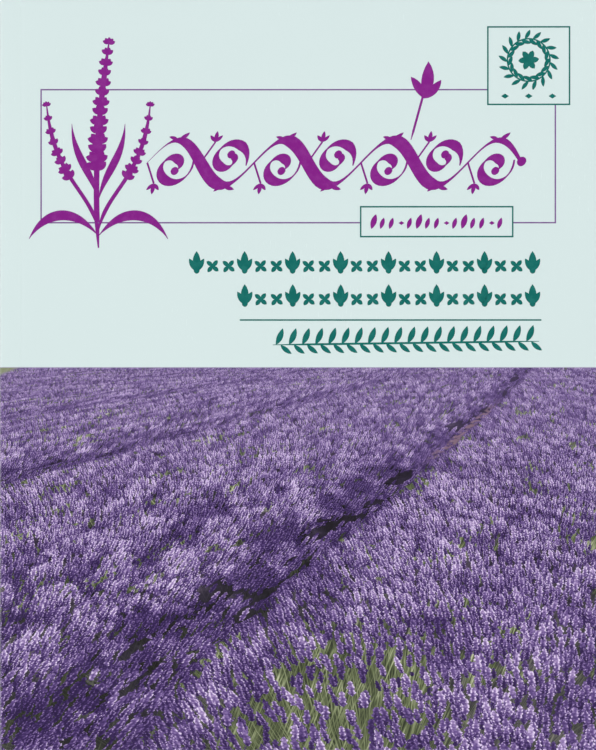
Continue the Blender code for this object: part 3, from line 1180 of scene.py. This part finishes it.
SPRIG_U, SPRIG_FOOT = 0.0335, 0.1700
tall = bezier((SPRIG_U, SPRIG_FOOT), (SPRIG_U - 0.0015, 0.1920),
              (SPRIG_U - 0.0005, 0.2130), (SPRIG_U + 0.0035, 0.2390))
initial = [ribbon(tall, nib(1.9 * MM, 0.9 * MM, 0), steps=32)] + sprig(tall, 14, 0.40, 1.0, 1.62)
SHOOT = [(0.0, 0.1760), (0.0030, 0.1900), (0.0150, 0.1930), (0.0175, 0.2180)]
LOW_BLADE = [(0.0, 0.1740), (0.0080, 0.1840), (0.0180, 0.1830), (0.0235, 0.1730)]
HIGH_BLADE = [(0.0, 0.1860), (0.0020, 0.1960), (0.0085, 0.2000), (0.0090, 0.2120)]
for side in (-1, 1):
    shoot = to_side(SPRIG_U, side, SHOOT)
    initial += [ribbon(shoot, nib(1.5 * MM, 0.7 * MM, 0), steps=24)] + sprig(shoot, 8, 0.52, 1.0, 1.15)
    initial.append(leaf_blade(to_side(SPRIG_U, side, LOW_BLADE), 3.4 * MM))
    initial.append(leaf_blade(to_side(SPRIG_U, side, HIGH_BLADE), 2.6 * MM))
front_plates.append(press("initial_sprig", initial, "purple_ink", cover))

# %% Rows of fleurons
def tulip(u, foot, size):
    """Three petals that open from a round foot."""
    fan = ((90, 1.20), (60, 0.88), (120, 0.88))
    petals = stamp(patterns["lance"], [(u, foot, math.radians(turn), size * share) for turn, share in fan])
    return petals + stamp(patterns["dot"], [(u - 1.0 * MM, foot + 0.3 * MM, 0, 0.85)])


def fleuron_row(left, right, foot, count):
    """Tall tulips with low four-petalled flowers between them, on a common foot line."""
    row = []
    for number, u in enumerate(spread(left + 3 * MM, right - 3 * MM, count)):
        if number % 3 == 0:
            row += tulip(u, foot + 0.8 * MM, 1.15)
        else:
            row += flower(u, foot + 2.6 * MM, 1.0, petals=4, first=45)
    return row


fleurons = fleuron_row(0.0637, 0.1833, 0.1612, 22) + fleuron_row(0.0800, 0.1833, 0.1500, 19)
front_plates.append(press("subtitle_fleurons", fleurons, "teal_ink", cover))

# %% A laurel twig, and the leaves in the small box
TWIG_LEFT, TWIG_LENGTH, TWIG_FOOT, TWIG_RISE = 0.0925, 0.090, 0.1372, 0.0012
twig = straight((TWIG_LEFT, TWIG_FOOT), (TWIG_LEFT + TWIG_LENGTH, TWIG_FOOT + TWIG_RISE))
laurel = [ribbon(twig, nib(0.8 * MM, 0.5 * MM), steps=14)]
for u in spread(0.0935, 0.1782, 20):
    v = TWIG_FOOT + TWIG_RISE * (u - TWIG_LEFT) / TWIG_LENGTH
    laurel += stamp(patterns["leaf"], [(u, v, math.radians(58), 1.2),
                                       (u + 1.6 * MM, v, math.radians(-48), 0.95)])
front_plates.append(press("author_laurel", laurel, "teal_ink", cover))

small = []
SMALL_FOOT, ITALIC = SMALL_BOX["bottom"] + 2.6 * MM, math.radians(72)
for number, u in enumerate(spread(SMALL_BOX["left"] + 3.6 * MM, SMALL_BOX["right"] - 5.0 * MM, 15)):
    if number % 5 == 3:
        small += stamp(patterns["lozenge"], [(u, SMALL_FOOT + 2.0 * MM, 0, 1.0)])
    else:
        small += stamp(patterns["lance"], [(u, SMALL_FOOT, ITALIC, 0.80 if number % 5 else 1.05)])
front_plates.append(press("small_box_leaves", small, "purple_ink", cover))

# %% The emblem: a wreath round a flower
EMBLEM_U, EMBLEM_V = (EMBLEM["left"] + EMBLEM["right"]) / 2, 0.2335
WREATH, WREATH_LEAVES = 7.2 * MM, 34
HALF_LOZENGE = 1.3 * MM


def ring(t):
    """The wreath's circle, clockwise from the top."""
    outward = Vector((math.sin(t * math.tau), math.cos(t * math.tau), 0))
    return Vector((EMBLEM_U, EMBLEM_V, 0)) + outward * WREATH


wreath = [ribbon(ring, even(0.5 * MM), steps=48)]
for number in range(WREATH_LEAVES):
    t = number / WREATH_LEAVES
    here, heading = ring(t), -t * math.tau
    turn = heading + (0.75 if number % 2 else -0.75)
    wreath += stamp(patterns["small_leaf"], [(here.x, here.y, turn, 1.15)])
wreath += flower(EMBLEM_U, EMBLEM_V, 1.35)
for u in (EMBLEM_U - 8 * MM, EMBLEM_U, EMBLEM_U + 8 * MM):
    wreath += stamp(patterns["lozenge"], [(u - HALF_LOZENGE, 0.2213, 0, 1.3)])
front_plates.append(press("emblem_wreath", wreath, "teal_ink", cover))

# %% [markdown]
# ## Spine, back and title leaf
#
# These carry the same inks and patterns, more sparsely. On the spine the ornaments run up the book, as a
# spine's lettering does. The back has a framed panel with rows of lozenges where its text would be, and a
# white label panel on the picture. The title leaf, seen when the cover opens, repeats the front in small.

# %% Plates of the spine
SPINE_MIDDLE = -THICKNESS / 2
VINE_FOOT, VINE_LENGTH, VINE_SWING, VINE_WAVES = 0.1520, 0.0760, 1.5 * MM, 3.5


def vine(t):
    """A stem that winds from side to side as it climbs the spine."""
    swing = VINE_SWING * math.sin(t * math.tau * VINE_WAVES)
    return Vector((SPINE_MIDDLE + swing, VINE_FOOT + VINE_LENGTH * t, 0))


spine = [ribbon(vine, nib(1.1 * MM, 0.5 * MM, 0), steps=84)]
for number, t in enumerate(spread(0.02, 0.98, 15)):
    here, side = vine(t), 1 if number % 2 else -1
    spine += stamp(patterns["small_leaf"], [(here.x, here.y, math.pi / 2 - side * 0.95, 0.95)])
book_plates = [press("spine_vine", spine, "purple_ink", cover)]

SPINE_INSET = 1.6 * MM  # from the folds to the ends of the short rules
spine_ends = [rule((-THICKNESS + SPINE_INSET, v), (-SPINE_INSET, v), BOX_RULE)
              for v in (0.1345, 0.1470, 0.2330, 0.2455)]
for v in (0.1375, 0.1408, 0.1441):
    spine_ends += stamp(patterns["lozenge"], [(SPINE_MIDDLE - HALF_LOZENGE, v, 0, 1.3)])
spine_ends += flower(SPINE_MIDDLE, 0.23925, 1.1)
book_plates.append(press("spine_rules", spine_ends, "teal_ink", cover))

# %% Plates of the back
def swashes(middle, points, broad, leaf_size):
    """A pen line out to each side of the middle, through four points, with three leaves on each."""
    strips = []
    for side in (-1, 1):
        swash = to_side(middle, side, points)
        strips.append(ribbon(swash, nib(broad, 0.4 * MM), steps=24))
        strips += stamp(patterns["leaf"], [(*swash(t).xy, math.pi / 2 - side * turn, leaf_size)
                                           for t, turn in ((0.25, 1.4), (0.5, 0.5), (0.75, 0.9))])
    return strips


BACK_MIDDLE = -THICKNESS - WIDTH / 2
PANEL = dict(left=BACK_MIDDLE - 0.078, right=BACK_MIDDLE + 0.078, bottom=0.1420, top=0.2400)
back_rules = box_of_rules(**PANEL, breadth=RULE)
book_plates.append(press("back_frame", back_rules, "frame_ink", back_cover))

back_sprig = bezier((BACK_MIDDLE - 0.004, 0.2085), (BACK_MIDDLE + 0.002, 0.2150),
                    (BACK_MIDDLE - 0.002, 0.2250), (BACK_MIDDLE + 0.003, 0.2310))
back = [ribbon(back_sprig, nib(1.0 * MM, 0.5 * MM, 0), steps=16)] + sprig(back_sprig, 8, 0.40, 1.0, 1.0)
back_swash = [(-0.002, 0.2120), (0.018, 0.2060), (0.030, 0.2220), (0.046, 0.2150)]
back += swashes(BACK_MIDDLE, back_swash, 1.2 * MM, 0.8)
book_plates.append(press("back_sprig", back, "purple_ink", back_cover))

lozenges = []
ROWS, FULL_ROW, LAST_ROW, LOZENGE_PITCH = 6, 28, 16, 5 * MM
for row, v in enumerate(spread(0.1960, 0.1560, ROWS)):
    count = LAST_ROW if row == ROWS - 1 else FULL_ROW
    places = [PANEL["left"] + 0.010 + LOZENGE_PITCH * step for step in range(count)]
    lozenges += stamp(patterns["lozenge"], [(u, v, 0, 1.25) for u in places])
book_plates.append(press("back_lozenges", lozenges, "teal_ink", back_cover))
label = [rule((BACK_MIDDLE + 0.028, 0.0300), (BACK_MIDDLE + 0.082, 0.0300), 30 * MM)]
book_plates.append(press("back_label", label, "white_ink", back_cover))

# %% Plate of the title leaf
LEAF_MIDDLE = 0.1030
leaf_sprig = bezier((0.0980, 0.1480), (0.1060, 0.1600), (0.0980, 0.1780), (0.1080, 0.1920))
title_page = [ribbon(leaf_sprig, nib(1.2 * MM, 0.6 * MM, 0), steps=20)]
title_page += sprig(leaf_sprig, 10, 0.42, 1.0, 1.35)
leaf_swash = [(-0.002, 0.1560), (0.022, 0.1480), (0.034, 0.1700), (0.054, 0.1600)]
title_page += swashes(LEAF_MIDDLE, leaf_swash, 1.5 * MM, 1.0)
leaf_plates = [press("title_leaf_sprig", title_page, "purple_ink", title_leaf, on_title_leaf)]
title_lines = [rule((0.0620, v), (0.1440, v), BOX_RULE) for v in (0.1330, 0.2080)]
title_lines += fleuron_row(0.0700, 0.1360, 0.1180, 13)
title_lines += stamp(patterns["lozenge"], [(u, 0.0350, 0, 1.3) for u in (0.0940, 0.1017, 0.1094)])
leaf_plates.append(press("title_leaf_rules", title_lines, "teal_ink", title_leaf, on_title_leaf))

for pattern in patterns.values():
    bpy.data.objects.remove(pattern)
print("plates:", len(front_plates), "front,", len(book_plates), "spine and back,", len(leaf_plates), "inside")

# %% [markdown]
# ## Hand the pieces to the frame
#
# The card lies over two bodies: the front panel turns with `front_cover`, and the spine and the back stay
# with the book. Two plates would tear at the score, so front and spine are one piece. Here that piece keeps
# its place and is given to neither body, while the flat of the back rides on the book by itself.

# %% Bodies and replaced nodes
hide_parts("cover_wrap", "front_cover")
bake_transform(cover)
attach(back_cover, BOOK)

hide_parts(*[f"gathering_{number:02}" for number in range(1, 11)])
for piece in (text_leaves, title_leaf):
    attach(piece, BOOK)

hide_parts("spine_glue")
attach(glue, BOOK)

for plate in front_plates:
    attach(plate, FRONT)
for plate in book_plates + leaf_plates:
    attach(plate, BOOK)

# %% [markdown]
# ## Studio
#
# The book lies on a pale floor and the camera looks straight down at its front. A gloss film mirrors
# whatever stands opposite it, so no lamp hangs over the book: four large soft ones stand round it, low
# enough that their reflections leave the cover at the side, and their light is even over the print.

# %% The floor
FLOOR_SIZE = 6
FLOOR_DROP = 0.1 * MM  # leaves room under the back cover for its ink
bpy.ops.object.select_all(action="DESELECT")
bpy.ops.mesh.primitive_plane_add(size=FLOOR_SIZE, location=(0, 0, 0))
floor = bpy.context.object
floor.name = "studio_floor"
for vertex in floor.data.vertices:
    vertex.co.z -= FLOOR_DROP
tree, shader = new_finish("studio_floor", Roughness=0.7)
floor_x, floor_y, _ = place_in_space(tree)
grain = noise(tree, floor_x * 40, floor_y * 40, detail=3.0)
pale_floor = mix(tree, grain, screen_colour(224, 224, 222), screen_colour(230, 230, 228))
feed(tree, shader.inputs["Base Color"], pale_floor)
floor.data.materials.append(bpy.data.materials["studio_floor"])
print("the floor lies", round(FLOOR_DROP / MM, 1), "mm below the book")

# %% Lamps and room light
LAMPS = 4
LAMP_OUT, LAMP_UP, LAMP_SIZE, LAMP_POWER = 1.15, 0.95, 1.3, 9.95
for number in range(LAMPS):
    around = math.radians(360 / LAMPS * number)
    spot = Vector((math.cos(around) * LAMP_OUT, math.sin(around) * LAMP_OUT, LAMP_UP))
    bpy.ops.object.light_add(type="AREA", location=spot)
    lamp = bpy.context.object
    lamp.name = f"soft_lamp_{number + 1}"
    lamp.data.shape, lamp.data.size, lamp.data.energy = "SQUARE", LAMP_SIZE, LAMP_POWER
    lamp.rotation_euler = (-spot).to_track_quat("-Z", "Y").to_euler()

ROOM_LIGHT = 0.12
world = bpy.data.worlds.new("studio")
bpy.context.scene.world = world
world.use_nodes = True
sky = world.node_tree.nodes["Background"]
sky.inputs["Color"].default_value = (1, 1, 1, 1)
sky.inputs["Strength"].default_value = ROOM_LIGHT
print(LAMPS, "lamps of", LAMP_POWER, "W stand", LAMP_OUT, "m out and", LAMP_UP, "m up")

# %% The camera
LENS, SENSOR = 100, 36
SEEN_HEIGHT = HEIGHT - 0.3 * MM  # a touch less than the book, so that the cover fills the frame
bpy.ops.object.camera_add(location=(0, 0, THICKNESS + SEEN_HEIGHT * LENS / SENSOR), rotation=(0, 0, 0))
camera = bpy.context.object
camera.data.lens, camera.data.sensor_width = LENS, SENSOR
bpy.context.scene.camera = camera
bpy.context.scene.view_settings.view_transform = "Standard"
print("camera stands", round(camera.location.z, 3), "m above the floor")

# %% The end
bpy.context.view_layer.update()
